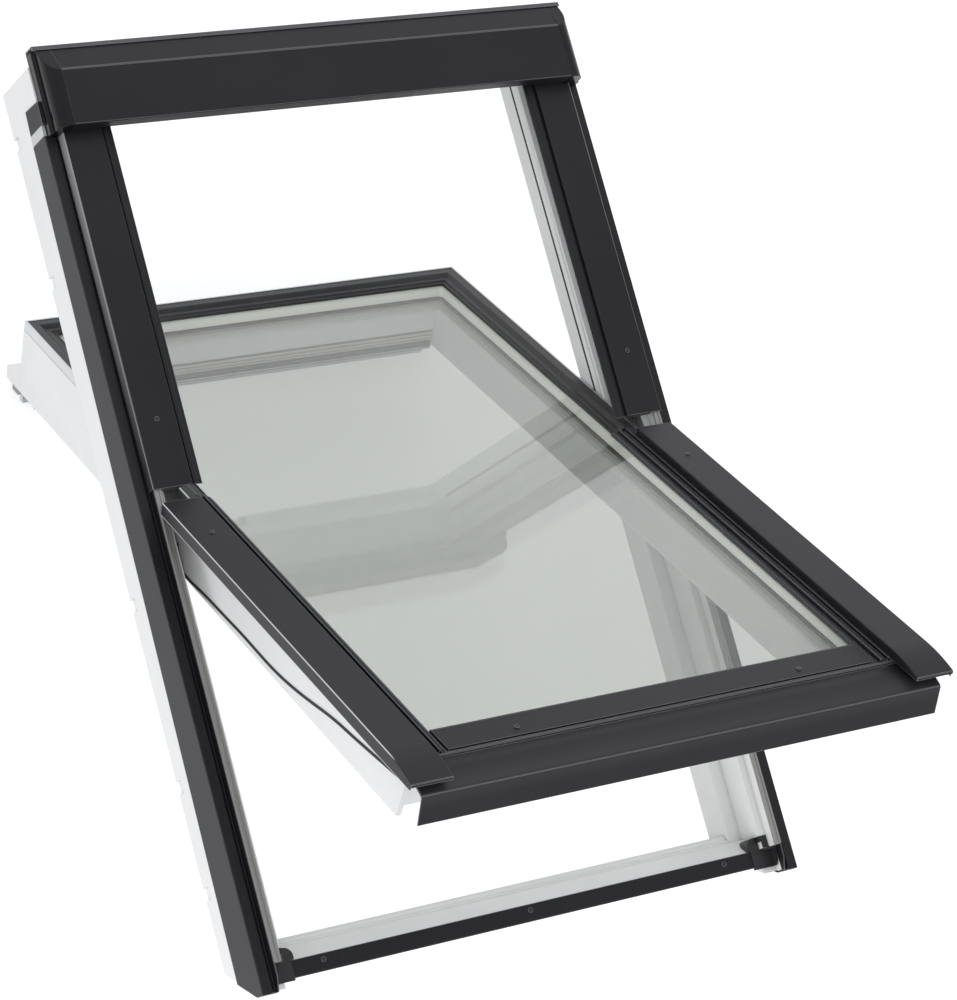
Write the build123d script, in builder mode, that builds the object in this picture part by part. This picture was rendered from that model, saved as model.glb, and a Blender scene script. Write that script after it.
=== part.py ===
from build123d import *
import math
import os

# Centre-pivot roof window: a white frame with dark metal covers, and a glazed
# sash that swings about an axis just above its covers. X runs across the
# window, Y up the roof slope and Z out of the roof. The origin is the centre
# of the frame's room-side face. The sash is drawn closed and placed turned
# out by rest_angle.

# Frame
frame_width = 780.0
frame_length = 1180.0
frame_depth = 95.0
side_width = 60.0
head_width = 53.0
sill_width = 63.0
shoulder_height = 45.0
side_recess = 20.0
ledge_drop = 7.0
upstand_width = 10.0
sill_drop = 19.0
sill_ledge = 32.0
sill_setback = 10.7
sill_slant = 19.5
sill_skirt = 20.0
end_slant = 27.0
end_reach = 3.0
knee_drop = 17.0
knee_radius = 18.0

# Sheet metal and fits
sheet = 1.2
bend = 1.3
fit = 0.1
running_gap = 1.7

# Frame claddings and covers
cladding_top_width = 20.5
cladding_side_top = 41.0
cladding_side_bottom = 64.0
cover_rise = 13.0
cover_inset = 19.0
cover_flat = 53.5
groove_width = 2.7
groove_depth = 6.7
strip_width = 12.3
cover_past_pivot = 4.0
cover_joint_gap = 4.0
cover_under_hood = 60.0
hood_reach = 93.5
hood_rise = 38.0
hood_fall = 20.0
fold_inset = 20.0
hood_overhang = 17.0
hood_cap_width = 24.0
cap_radius = 17.0

# Pivot
pivot_y = 35.0
pivot_rise = 40.0
rest_angle = 45.0
hinge_radius = 60.0
hinge_reach = 52.0
slide_fit = 0.08

# Sash
room_proud = 6.0
sash_drop = 9.0
sash_side_width = 45.0
head_gap = 2.2
rail_flange = 42.0
sill_gap = 14.0
sill_overlap = 77.0
glass_inset = 33.3
glass_rise = 14.0
glass_edge_cover = 12.0
pane = 4.0
pane_gap = 16.0
glass_proud = 3.0
strip_inset = 45.0
nose_overhang = 8.0
nose_length = 58.0
nose_drop = 7.5
apron_overhang = 9.0
apron_height = 35.5
apron_inset = 34.0

# Control bar and latch
bar_inset = 10.3
bar_out = 17.2
bar_drop = 7.0
bar_reach = 30.0
bolt_width = 30.0
bolt_height = 5.6

# Screws
screw_radius = 3.2
sill_screw_inset = 37.0
bottom_screw_inset = 100.0

# Across the window, from the middle to the right-hand edge
half_w = frame_width / 2
inner_x = half_w - side_width
recess_x = inner_x + side_recess
clad_in = half_w - cladding_top_width
lip_in = clad_in - sheet - fit
upstand_in = clad_in - upstand_width
white_x = half_w - sheet - fit
cover_x = half_w - cover_inset
groove_x = cover_x - cover_flat
strip_x = groove_x - groove_width - strip_width
sash_x = inner_x - running_gap
sash_in = sash_x - sash_side_width
sight_x = sash_x - glass_inset
rebate_x = sight_x + glass_edge_cover + 3.5

# Up the roof slope
half_l = frame_length / 2
head_inner = half_l - head_width
sill_inner = -half_l + sill_width
pocket_y = -half_l + sill_ledge
hood_start = half_l - hood_reach
hood_fold = half_l - fold_inset
hood_back = half_l + hood_overhang
clad_top_end = hood_start + 2
rail_top_y = head_inner - head_gap
sight_top = rail_top_y - glass_inset
sash_low = sill_inner + sill_gap
sight_bottom = sash_low + glass_rise
lip_end = sash_low - sill_overlap
lip_start = lip_end + 37
strip_end = -half_l + strip_inset
cover_nose_y = -half_l - nose_overhang
apron_y = -half_l - apron_overhang

# Heights above the room-side face
ledge_z = frame_depth - ledge_drop
sill_top = frame_depth - sill_drop
cover_height = frame_depth + cover_rise
upstand_top = cover_height - 5.4
strip_top = cover_height - 2.6
wall_low = frame_depth + 0.6
outer_wall_low = ledge_z + sheet + fit + running_gap
hood_height = frame_depth + hood_rise
cap_top = hood_height - hood_fall
cap_seat = frame_depth + fit
pivot_z = frame_depth + pivot_rise
sash_room = -room_proud
sash_top_face = frame_depth - sash_drop
glass_top = sash_top_face + glass_proud
pane_low = glass_top - 2 * pane - pane_gap
seat_z = pane_low - 3

rest = (
    Location((0, pivot_y, pivot_z))
    * Location((0, 0, 0), (-rest_angle, 0, 0))
    * Location((0, -pivot_y, -pivot_z))
)


def along(y):
    """Plane across the side members at y, sketched in X and Z."""
    return Plane(origin=(0, y, 0), x_dir=(1, 0, 0), z_dir=(0, -1, 0))


def across(x):
    """Plane across the rails at x, sketched in Y and Z."""
    return Plane(origin=(x, 0, 0), x_dir=(0, 1, 0), z_dir=(1, 0, 0))


def level(z):
    """Plane parallel to the window at height z."""
    return Plane.XY.offset(z)


def on_sash(plane):
    """The same plane on the sash, in its opened rest position."""
    return Plane(rest * plane.location)


def mirrored(piece):
    """The left-hand twin of a right-hand piece."""
    with BuildPart() as twin:
        mirror(piece.part, about=Plane.YZ)
    return twin


def save(piece, name):
    piece.part.label = name
    export_step(piece.part, f"parts/{name}.step")


def save_pair(piece, name):
    save(mirrored(piece), f"{name}_left")
    save(piece, f"{name}_right")


os.makedirs("parts", exist_ok=True)

# The lower ends of the side members: upright at the top, then slanting back
end_y = -half_l - end_reach
knee_z = frame_depth - knee_drop
end_slope = math.tan(math.radians(end_slant))


def past_end(back):
    """Corners of all that lies past the lower end, moved up the roof by back."""
    return (
        (end_y + back, frame_depth + 60),
        (end_y + back, knee_z),
        (end_y + back + (knee_z + 60) * end_slope, -60),
        (end_y - 90, -60),
        (end_y - 90, frame_depth + 60),
    )


# Frame side members, with an upstand that the cladding laps
with BuildPart() as frame_side:
    with BuildSketch(along(half_l)):
        Polygon(
            (inner_x, 0),
            (white_x, 0),
            (white_x, frame_depth - sheet - fit),
            (half_w - 13, frame_depth - sheet - fit),
            (half_w - 16.7, ledge_z),
            (lip_in, ledge_z),
            (lip_in, upstand_top),
            (upstand_in + 0.5, upstand_top),
            (upstand_in + 0.5, ledge_z),
            (recess_x, ledge_z),
            (recess_x, shoulder_height),
            (inner_x, shoulder_height),
            align=None,
        )
    extrude(amount=frame_length + 4)
    with BuildSketch(across(inner_x - 1)):
        with BuildLine():
            FilletPolyline(*past_end(sheet + 1), radius=knee_radius, close=True)
        make_face()
    extrude(amount=side_width + 2, mode=Mode.SUBTRACT)
    with BuildSketch(level(sill_top)):
        Polygon(
            (inner_x - 1, pocket_y),
            (clad_in, pocket_y),
            (clad_in, -half_l - 9),
            (inner_x - 1, -half_l - 9),
            align=None,
        )
    extrude(amount=frame_depth, mode=Mode.SUBTRACT)
    with BuildSketch(level(ledge_z)):
        Polygon(
            (recess_x + 1, hood_start + cover_under_hood - 2),
            (clad_in, hood_start + cover_under_hood - 2),
            (clad_in, half_l + 1),
            (recess_x + 1, half_l + 1),
            align=None,
        )
    extrude(amount=frame_depth, mode=Mode.SUBTRACT)
    with BuildSketch(Plane.YZ.offset(white_x)):
        with Locations(*[(half_l - a, 0) for a in (69, 255, 677, 909, 1043)]):
            RectangleRounded(16, 32, 3)
    extrude(amount=-3.4, mode=Mode.SUBTRACT)
    inner_edges = frame_side.edges().filter_by(Axis.Y).group_by(Axis.X)[0]
    fillet(inner_edges, radius=2.5)
save_pair(frame_side, "frame_side")

# Frame head, hollowed on the room side for the sash's flange
flange_top = rail_top_y + rail_flange
head_lip = flange_top + 3.5
with BuildPart() as frame_head:
    with BuildSketch(across(-recess_x)):
        Polygon(
            (head_inner, shoulder_height - 6.5),
            (head_lip, 15),
            (head_lip, 0),
            (half_l, 0),
            (half_l, frame_depth - sheet - fit),
            (head_inner + 8, frame_depth - sheet - fit),
            (head_inner, ledge_z),
            align=None,
        )
    extrude(amount=2 * recess_x)
    for side in (-1, 1):
        with BuildSketch(level(shoulder_height)):
            with Locations((side * (inner_x + recess_x) / 2, 0)):
                Rectangle(side_recess, frame_length + 20)
        extrude(amount=-shoulder_height, mode=Mode.SUBTRACT)
    with BuildSketch(across(0)):
        with Locations((head_lip, 0)):
            Rectangle(16, 21)
    extrude(amount=bolt_width / 2 + 2, both=True, mode=Mode.SUBTRACT)
save(frame_head, "frame_head")

# Frame sill: stepped and sloping outwards
sill_slope = math.tan(math.radians(sill_slant))
sill_front = -half_l + sill_setback
with BuildPart() as frame_sill:
    with BuildSketch(across(-recess_x)):
        Polygon(
            (sill_inner, 0),
            (sill_inner, sill_top - 40),
            (sill_inner - 3, sill_top - 37),
            (sill_inner - 7, sill_top - 35.6),
            (sill_inner - 7.6, sill_top - 33),
            (sill_inner - 11, sill_top - 32),
            (sill_inner - 12, sill_top - 26),
            (pocket_y, sill_top),
            (sill_front + 1.5, sill_top),
            (sill_front + 0.6, sill_top - 1.5),
            (sill_front + sill_top * sill_slope, 0),
            align=None,
        )
    extrude(amount=2 * recess_x)
    for side in (-1, 1):
        with BuildSketch(level(shoulder_height)):
            with Locations((side * (inner_x + recess_x) / 2, 0)):
                Rectangle(side_recess, frame_length + 20)
        extrude(amount=-shoulder_height - 1, mode=Mode.SUBTRACT)
save(frame_sill, "frame_sill")

# Side claddings: folded over the outer edge into a gutter and up the white
# upstand, their skirt deepening downwards, with a closed lower end
end_foot = frame_depth - cladding_side_bottom
with BuildPart() as side_cladding:
    with BuildSketch(along(clad_top_end)):
        with BuildLine():
            FilletPolyline(
                (half_w, frame_depth - cladding_side_bottom - 8),
                (half_w, frame_depth),
                (half_w - 14, frame_depth),
                (half_w - 17.5, ledge_z + sheet + fit),
                (clad_in, ledge_z + sheet + fit),
                (clad_in, upstand_top),
                radius=bend,
            )
            offset(amount=sheet, side=Side.LEFT)
        make_face()
    extrude(amount=clad_top_end + half_l + end_reach + 4)
    with BuildSketch(across(lip_in)):
        with BuildLine():
            FilletPolyline(*past_end(0), radius=knee_radius, close=True)
        make_face()
    extrude(amount=half_w - lip_in + 2, mode=Mode.SUBTRACT)
    with BuildSketch(across(lip_in)):
        Polygon(
            (sill_front + 4, upstand_top),
            (sill_front + 4, upstand_top + 2),
            (end_y - 1, upstand_top + 2),
            (end_y - 1, ledge_z + 7),
            align=None,
        )
    extrude(amount=1.5, mode=Mode.SUBTRACT)
    with BuildSketch(Plane.YZ.offset(half_w - 5)):
        Polygon(
            (clad_top_end + 1, frame_depth - cladding_side_top),
            (end_y - 1, end_foot),
            (end_y - 1, -20),
            (clad_top_end + 1, -20),
            align=None,
        )
    extrude(amount=10, mode=Mode.SUBTRACT)
    with BuildSketch(across(lip_in + fit)):
        with BuildLine():
            FilletPolyline(
                (end_y, ledge_z + sheet + fit),
                (end_y, knee_z),
                (end_y + (knee_z - end_foot) * end_slope, end_foot),
                radius=knee_radius,
            )
            offset(amount=sheet, side=Side.LEFT)
        make_face()
    extrude(amount=half_w - lip_in - fit)
    with BuildSketch(across(half_w - 16)):
        with Locations((end_y, ledge_z)):
            Rectangle(sheet, ledge_drop - 0.5, align=(Align.MIN, Align.MIN))
    extrude(amount=15.6)
save_pair(side_cladding, "side_cladding")

# Light capping strips on the upstands, below the pivot
carrier_start = pivot_y + hinge_radius + 14
strip_low = upstand_top + fit
strip_out = clad_in - 0.2
with BuildPart() as frame_strip:
    with BuildSketch(along(carrier_start - 2)):
        Polygon(
            (upstand_in, strip_low),
            (strip_out, strip_low),
            (strip_out, strip_top - 0.5),
            (strip_out - 0.6, strip_top),
            (strip_out - 3, strip_top),
            (strip_out - 3.5, strip_top - 1),
            (strip_out - 5.6, strip_top - 1),
            (strip_out - 6.1, strip_top),
            (upstand_in + 1, strip_top),
            (upstand_in, strip_top - 0.8),
            align=None,
        )
    extrude(amount=carrier_start - 2 - pocket_y - fit)
save_pair(frame_strip, "frame_strip")

# Upper side covers on the frame, from under the hood to the pivot
upper_cover_end = pivot_y - cover_past_pivot
under_hood = hood_start + cover_under_hood
plate_out = upstand_in - 1.5
with BuildPart() as upper_cover:
    with BuildSketch(along(under_hood)):
        with BuildLine():
            FilletPolyline(
                (cover_x, outer_wall_low),
                (cover_x, cover_height),
                (groove_x, cover_height),
                (groove_x, cover_height - groove_depth),
                (groove_x - groove_width, cover_height - groove_depth),
                (groove_x - groove_width, cover_height - 3.6),
                (groove_x - groove_width - 5, cover_height - 3.6),
                (groove_x - groove_width - 7, cover_height - 5.2),
                (strip_x, cover_height - 5.2),
                (strip_x, cover_height - 7.6),
                radius=bend,
            )
            offset(amount=sheet, side=Side.LEFT)
        make_face()
    extrude(amount=under_hood - upper_cover_end)
    with BuildSketch(along(upper_cover_end + sheet)):
        with Locations((inner_x + 1, wall_low)):
            Rectangle(
                plate_out - inner_x - 1,
                cover_height - wall_low - sheet / 2,
                align=(Align.MIN, Align.MIN),
            )
    extrude(amount=sheet)
save_pair(upper_cover, "upper_side_cover")

# Rails that carry the upper covers, clipped over the upstand
carrier_top = cover_height - sheet - fit
with BuildPart() as upper_rail:
    with BuildSketch(along(under_hood - 2 - fit)):
        Polygon(
            (recess_x + 1, ledge_z + fit),
            (upstand_in + 0.5 - fit, ledge_z + fit),
            (upstand_in + 0.5 - fit, strip_low),
            (lip_in, strip_low),
            (lip_in, carrier_top),
            (inner_x + 5, carrier_top),
            (inner_x + 5, carrier_top - 8),
            (recess_x + 1, carrier_top - 9),
            align=None,
        )
    extrude(amount=under_hood - 2 - fit - carrier_start)
save_pair(upper_rail, "upper_cover_rail")

# Head hood: folded over the frame head, with a raised bead along its fold
hood_face = cover_x - 8
with BuildPart() as hood:
    with BuildSketch(across(-hood_face)):
        with BuildLine():
            FilletPolyline(
                (hood_start + 1.4, cover_height + 0.6),
                (hood_start, cover_height + 5),
                (hood_start, hood_height),
                (hood_fold, hood_height),
                (hood_back - 3, cap_top),
                radius=2,
            )
            offset(amount=sheet, side=Side.RIGHT)
        make_face()
        with Locations((hood_fold, hood_height - 0.3)):
            Circle(1.3)
    extrude(amount=2 * hood_face)
save(hood, "head_hood")

# Rear strip that closes the hood against the roof covering
strip_back = hood_back + 3.2
with BuildPart() as rear_strip:
    with BuildSketch(across(-hood_face - hood_cap_width + 1)):
        Polygon(
            (hood_back - 2.9, cap_top - sheet - 1),
            (hood_back - 2.9, cap_top + 1.4),
            (strip_back, cap_top - 1.2),
            (strip_back, frame_depth - 4),
            (half_l + fit, frame_depth - 4),
            (half_l + fit, frame_depth - 1.6),
            (strip_back - 2, frame_depth - 1.6),
            (strip_back - 2, cap_top - 4.5),
            align=None,
        )
    extrude(amount=2 * (hood_face + hood_cap_width - 1))
save(rear_strip, "hood_rear_strip")

# Moulded end caps of the hood, rounded over to the frame's outer edge
ridge_top = hood_height + 0.8
ridge_out = hood_face + hood_cap_width - 4
cap_foot = hood_face + hood_cap_width
with BuildPart() as hood_cap:
    with BuildSketch(along(hood_back - 3)):
        with BuildLine():
            Polyline(
                (hood_face + fit, ridge_top),
                (hood_face + fit, cap_seat),
                (cap_foot, cap_seat),
                (cap_foot, cap_seat + 12),
                (ridge_out, cap_seat + 13.5),
                (ridge_out, ridge_top - cap_radius),
            )
            CenterArc((ridge_out - cap_radius, ridge_top - cap_radius), cap_radius, 0, 90)
            Line((ridge_out - cap_radius, ridge_top), (hood_face + fit, ridge_top))
        make_face()
    extrude(amount=hood_back - 3 - hood_start + 1)
    with BuildSketch(across(hood_face)):
        Polygon(
            (hood_fold, ridge_top),
            (hood_back - 3, cap_top),
            (hood_back + 5, cap_top),
            (hood_back + 5, ridge_top + 5),
            (hood_fold, ridge_top + 5),
            align=None,
        )
    extrude(amount=hood_cap_width + 5, mode=Mode.SUBTRACT)
    with BuildSketch(across(hood_face - 1)):
        Polygon(
            (hood_start - 2, cap_seat - 2),
            (hood_start - 2, cover_height + 0.4),
            (under_hood + 1, cover_height + 0.4),
            (under_hood + 1, cap_seat - 2),
            align=None,
        )
    extrude(amount=cover_x + 0.4 - hood_face + 1, mode=Mode.SUBTRACT)
    with BuildSketch(across(ridge_out)):
        with Locations((hood_start + 19, cap_seat + 19)):
            SlotOverall(13, 5)
    extrude(amount=-2, mode=Mode.SUBTRACT)
save_pair(hood_cap, "hood_end_cap")

# Plates that hold the hood at the frame's sides
with BuildPart() as hood_bracket:
    with BuildSketch(Plane.YZ.offset(white_x + fit)):
        Polygon(
            (clad_top_end + 0.6, 55),
            (clad_top_end + 46, 58),
            (clad_top_end + 44, cap_seat + 4),
            (clad_top_end + 14, cap_seat + 4),
            (clad_top_end + 14, cap_seat - 1),
            (clad_top_end + 0.6, cap_seat - 1),
            align=None,
        )
    extrude(amount=1.8)
    with BuildSketch(Plane.YZ.offset(cap_foot)):
        with Locations((clad_top_end + 29, cap_seat + 2.5)):
            Rectangle(hood_cap_width + 6, 3)
    extrude(amount=white_x + fit + 1.8 - cap_foot)
save_pair(hood_bracket, "hood_bracket")

# Sill cladding with its drip edge
corner_x = inner_x + 6
sill_clad_top = sill_top + fit + sheet
with BuildPart() as sill_cladding:
    with BuildSketch(across(-corner_x + fit)):
        with BuildLine():
            FilletPolyline(
                (pocket_y - 0.5, sill_top + fit),
                (sill_front - 2 * fit, sill_top + fit),
                (sill_front - 2 * fit + sill_skirt * sill_slope, sill_top + fit - sill_skirt),
                radius=bend,
            )
            offset(amount=sheet, side=Side.RIGHT)
        make_face()
    extrude(amount=2 * (corner_x - fit))
save(sill_cladding, "sill_cladding")

# Cap screws on the frame: two in the upper covers, three in the sill cladding
upper_screw_y = carrier_start + 9
sill_screw_y = (pocket_y + sill_front) / 2 + 2.6
sill_screw_x = inner_x - sill_screw_inset
screw_x = inner_x + 14
with BuildPart() as frame_screws:
    with Locations(*[(side * screw_x, upper_screw_y, cover_height) for side in (-1, 1)]):
        Cylinder(screw_radius, 1.2, align=(Align.CENTER, Align.CENTER, Align.MIN))
    with Locations(*[(x, sill_screw_y, sill_clad_top) for x in (-sill_screw_x, 0, sill_screw_x)]):
        Cylinder(screw_radius, 1.2, align=(Align.CENTER, Align.CENTER, Align.MIN))
save(frame_screws, "frame_screws")

# Black moulded corner pieces: a plate in the pocket at each end of the sill, a
# quarter-round wall behind it, and a rounded block in the side recess
corner_out = lip_in - fit
block_x = inner_x + 2
block_out = recess_x - fit
block_y = pocket_y + 16
pocket_end = sill_front - 3.7
with BuildPart() as sill_corner:
    with BuildSketch(across(block_x)):
        Polygon(
            (block_y, sill_top - 21.4),
            (block_y, sill_top + 4.5),
            (pocket_y + 1, sill_top + 4.5),
            (pocket_y - fit, sill_top + 3.9),
            (pocket_y - fit, sill_top + 0.5),
            align=None,
        )
    extrude(amount=block_out - block_x)
    inner_edge = sill_corner.edges().filter_by(Axis.Z).group_by(Axis.X)[0].sort_by(Axis.Y)[-1]
    fillet(inner_edge, radius=12)
    with BuildSketch(level(sill_top + 0.5)):
        Polygon(
            (block_out - 1.5, pocket_y + 8.6),
            (block_out, pocket_y + 8.6),
            (block_out, block_y),
            (block_out - 1.5, block_y),
            align=None,
        )
    extrude(amount=ledge_z + 0.8 - sill_top - 0.5)
    with BuildSketch(level(ledge_z + fit)):
        Polygon(
            (block_out - 1.5, pocket_y + 8.6),
            (recess_x + 0.5, pocket_y + 8.6),
            (recess_x + 0.5, pocket_y + fit),
            (upstand_in, pocket_y + fit),
            (upstand_in, block_y),
            (block_out - 1.5, block_y),
            align=None,
        )
    extrude(amount=0.7)
    with BuildSketch(level(sill_top + fit)):
        Polygon(
            (corner_x, pocket_y + 0.4),
            (block_out, pocket_y + 0.4),
            (block_out, pocket_y - fit),
            (corner_out, pocket_y - fit),
            (corner_out, pocket_end),
            (corner_x, pocket_end),
            align=None,
        )
    extrude(amount=3)
    with BuildSketch(along(pocket_y - fit)):
        with Locations((corner_out, sill_top + fit)):
            Circle(17)
        with Locations((corner_out, sill_top + fit)):
            Rectangle(34, 34, align=(Align.MAX, Align.MIN), mode=Mode.INTERSECT)
    extrude(amount=2)
    with BuildSketch(Plane.YZ.offset(corner_out)):
        Polygon(
            (pocket_y - fit, sill_top + fit),
            (pocket_y - fit, sill_top + 16),
            (pocket_end + 6, sill_top + 12),
            (pocket_end, sill_top + 8),
            (pocket_end, sill_top + fit),
            align=None,
        )
    extrude(amount=-2)
save_pair(sill_corner, "sill_corner")

# Wiper gaskets on the frame above the pivot
seal_start = pivot_y + 20
with BuildPart() as frame_seal:
    with BuildSketch(along(head_inner - fit)):
        Polygon(
            (inner_x + 6, shoulder_height + fit),
            (inner_x - 0.6, shoulder_height + fit),
            (inner_x - 1.3, shoulder_height - 3),
            (inner_x - 1.3, shoulder_height + 1.2),
            (inner_x - 0.6, shoulder_height + 2.6),
            (inner_x + 6, shoulder_height + 2.6),
            align=None,
        )
    extrude(amount=head_inner - fit - seal_start)
save_pair(frame_seal, "frame_seal")


# Pivot hinges: a fixed arc guide, an arc slide that runs at half speed and an
# arc rail on the sash, all about the pivot axis
def ring_sector(inner, outer, reach):
    """Sketch of a ring part hanging below the pivot axis, reach degrees each way."""
    with Locations((pivot_y, pivot_z)):
        Circle(outer)
        Circle(inner, mode=Mode.SUBTRACT)
    spread = outer * 3
    turn = math.radians(reach)
    Polygon(
        (pivot_y, pivot_z),
        (pivot_y + spread * math.sin(turn), pivot_z - spread * math.cos(turn)),
        (pivot_y, pivot_z - spread),
        (pivot_y - spread * math.sin(turn), pivot_z - spread * math.cos(turn)),
        align=None,
        mode=Mode.INTERSECT,
    )


guide_out = hinge_radius + 12
guide_in = hinge_radius - 12
guide_rim = 2.5
slide_rim = 3.0
guide_x = recess_x - fit
slide_x = guide_x - 2.0
rail_x = slide_x - 3.5
with BuildPart() as hinge_guide:
    with BuildSketch(Plane.YZ.offset(guide_x)):
        ring_sector(guide_in, guide_out, hinge_reach)
    extrude(amount=-1.5)
    with BuildSketch(Plane.YZ.offset(guide_x - 1.5)):
        ring_sector(guide_in, guide_in + guide_rim, hinge_reach)
    extrude(amount=-5.5)
    with BuildSketch(Plane.YZ.offset(guide_x - 1.5)):
        ring_sector(guide_out - guide_rim, guide_out, hinge_reach)
    extrude(amount=-5.5)

slide_out = guide_out - guide_rim - slide_fit
slide_in = guide_in + guide_rim + slide_fit
slide_plane = Plane(
    Location((0, pivot_y, pivot_z))
    * Location((0, 0, 0), (-rest_angle / 2, 0, 0))
    * Location((0, -pivot_y, -pivot_z))
    * Plane.YZ.offset(slide_x).location
)
with BuildPart() as hinge_slide:
    with BuildSketch(slide_plane):
        ring_sector(slide_in, slide_out, hinge_reach + 2)
    extrude(amount=-3.2)
    with BuildSketch(slide_plane.offset(-3.2)):
        ring_sector(slide_in, slide_in + slide_rim, hinge_reach + 2)
    extrude(amount=-6.3)
    with BuildSketch(slide_plane.offset(-3.2)):
        ring_sector(slide_out - slide_rim, slide_out, hinge_reach + 2)
    extrude(amount=-6.3)

rib_out = slide_out - slide_rim - slide_fit
rib_in = slide_in + slide_rim + slide_fit
with BuildPart() as hinge_rail:
    with BuildSketch(on_sash(Plane.YZ.offset(sash_x + fit))):
        ring_sector(slide_in, slide_out, hinge_reach + 2)
    extrude(amount=slide_x - 3.2 - 6.3 - 0.4 - sash_x - fit)
    with BuildSketch(on_sash(Plane.YZ.offset(sash_x + fit))):
        ring_sector(rib_in, rib_out, hinge_reach + 2)
    extrude(amount=rail_x - 0.3 - sash_x - fit)
save_pair(hinge_guide, "hinge_guide")
save_pair(hinge_slide, "hinge_slide")
save_pair(hinge_rail, "hinge_rail")

# Latch keeper on the frame head
with BuildPart() as latch_keeper:
    with BuildSketch(along(head_lip - fit)):
        with Locations((0, 7.5)):
            Rectangle(bolt_width + 26, 13)
        with Locations((0, 5)):
            Rectangle(bolt_width + 2, bolt_height + 3, mode=Mode.SUBTRACT)
    extrude(amount=1.2)
save(latch_keeper, "latch_keeper")

# Sash side members, notched on the room side at the lower end
lip_low = sash_top_face - 3
rail_inner_top = sight_top - glass_edge_cover
rail_inner_low = sight_bottom + glass_edge_cover
notch_y = sash_low + 16
notch_z = sash_room + 15
with BuildPart() as sash_side:
    with BuildSketch(on_sash(along(rail_top_y))):
        Polygon(
            (sash_in, 0),
            (sash_in + 4, sash_room),
            (sash_x, sash_room),
            (sash_x, sash_top_face),
            (rebate_x, sash_top_face),
            (rebate_x, seat_z),
            (sash_in + 3, seat_z),
            (sash_in, seat_z - 4),
            align=None,
        )
    extrude(amount=rail_top_y - lip_end)
    with BuildSketch(on_sash(across(sash_in - 1))):
        Polygon(
            (sash_low, sash_room - 1),
            (sash_low - 9, sash_top_face - 44),
            (lip_start, lip_low),
            (lip_start, sash_top_face + 1),
            (lip_end - 4, sash_top_face + 1),
            (lip_end - 4, sash_room - 1),
            align=None,
        )
    extrude(amount=sash_side_width + 2, mode=Mode.SUBTRACT)
    with BuildSketch(on_sash(across(sash_in - 1))):
        with Locations((notch_y, notch_z)):
            Rectangle(40, 30, align=(Align.MAX, Align.MAX))
    extrude(amount=sash_side_width - 5, mode=Mode.SUBTRACT)
save_pair(sash_side, "sash_side")

# Sash top rail with the flange that laps the frame head on the room side
with BuildPart() as sash_top_rail:
    with BuildSketch(on_sash(across(-sash_in + fit))):
        Polygon(
            (rail_inner_top, sash_room + 6),
            (rail_inner_top + 4, sash_room),
            (flange_top, sash_room),
            (flange_top, 12),
            (rail_top_y, 35),
            (rail_top_y, sash_top_face),
            (rail_top_y - 11, sash_top_face),
            (rail_top_y - 11, seat_z),
            (rail_inner_top + 3, seat_z),
            (rail_inner_top, seat_z - 4),
            align=None,
        )
    extrude(amount=2 * (sash_in - fit))
    for side in (-1, 1):
        with BuildSketch(on_sash(across(side * (sash_in - fit)))):
            Polygon(
                (rail_top_y + fit, sash_room),
                (flange_top, sash_room),
                (flange_top, 12),
                (rail_top_y + fit, 35),
                align=None,
            )
        extrude(amount=side * (sash_side_width + fit))
    with BuildSketch(on_sash(level(1 - fit))):
        with Locations((0, flange_top)):
            Rectangle(bolt_width + 0.4, 36)
    extrude(amount=bolt_height + 2 * fit, mode=Mode.SUBTRACT)
save(sash_top_rail, "sash_top_rail")

# Sash bottom rail with a lip that reaches out over the sill
lip_profile = (
    (lip_start - fit, lip_low),
    (lip_end, sash_top_face - 6.3),
    (lip_end, sash_top_face - 3.8),
    (lip_start - 22, sash_top_face - 1.4),
    (lip_start - fit, sash_top_face),
)
with BuildPart() as sash_bottom_rail:
    with BuildSketch(on_sash(across(-sash_in + fit))):
        Polygon(
            (rail_inner_low, 0),
            (rail_inner_low - 4, sash_room),
            (notch_y, sash_room),
            (notch_y, notch_z),
            (sash_low - 2.8, notch_z),
            (sash_low - 9, sash_top_face - 44),
            *lip_profile,
            (sight_bottom - glass_edge_cover - 3.5, sash_top_face),
            (sight_bottom - glass_edge_cover - 3.5, seat_z),
            (rail_inner_low - 3, seat_z),
            (rail_inner_low, seat_z - 4),
            align=None,
        )
    extrude(amount=2 * (sash_in - fit))
    for side in (-1, 1):
        with BuildSketch(on_sash(across(side * (sash_in - fit - 1)))):
            Polygon(*lip_profile, align=None)
        extrude(amount=side * (sash_side_width + fit + 1))
save(sash_bottom_rail, "sash_bottom_rail")

# Tube gasket in the notch under the sash's lower end
with BuildPart() as bottom_gasket:
    with BuildSketch(on_sash(across(11.3 - sash_x))):
        with Locations((sash_low + 8, notch_z - 2.7)):
            Circle(2.6)
    extrude(amount=2 * (sash_x - 11.3))
save(bottom_gasket, "bottom_gasket")

# Gasket blocks that close the sash's lower corners under the covers
with BuildPart() as corner_block:
    with BuildSketch(on_sash(across(sash_x + fit))):
        Polygon(
            (lip_start + 3, lip_low - 1),
            (lip_start + 3, sash_top_face + 1.5),
            (lip_start - 22, sash_top_face),
            (lip_end, sash_top_face - 3.8),
            (lip_end, sash_top_face - 6.3),
            (lip_end + 24, sash_top_face - 6),
            align=None,
        )
    extrude(amount=recess_x - 0.6 - sash_x - fit)
save_pair(corner_block, "sash_corner_gasket")

# Glass unit: two panes and the spacer between them
unit_x = sight_x + glass_edge_cover
unit_low = sight_bottom - glass_edge_cover
unit_top = sight_top + glass_edge_cover
unit_mid = (unit_low + unit_top) / 2
for name, top in (("outer_pane", glass_top), ("inner_pane", pane_low + pane)):
    with BuildPart() as glass:
        with BuildSketch(on_sash(level(top - pane))):
            with Locations((0, unit_mid)):
                Rectangle(2 * unit_x, unit_top - unit_low)
        extrude(amount=pane)
    save(glass, name)

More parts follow.
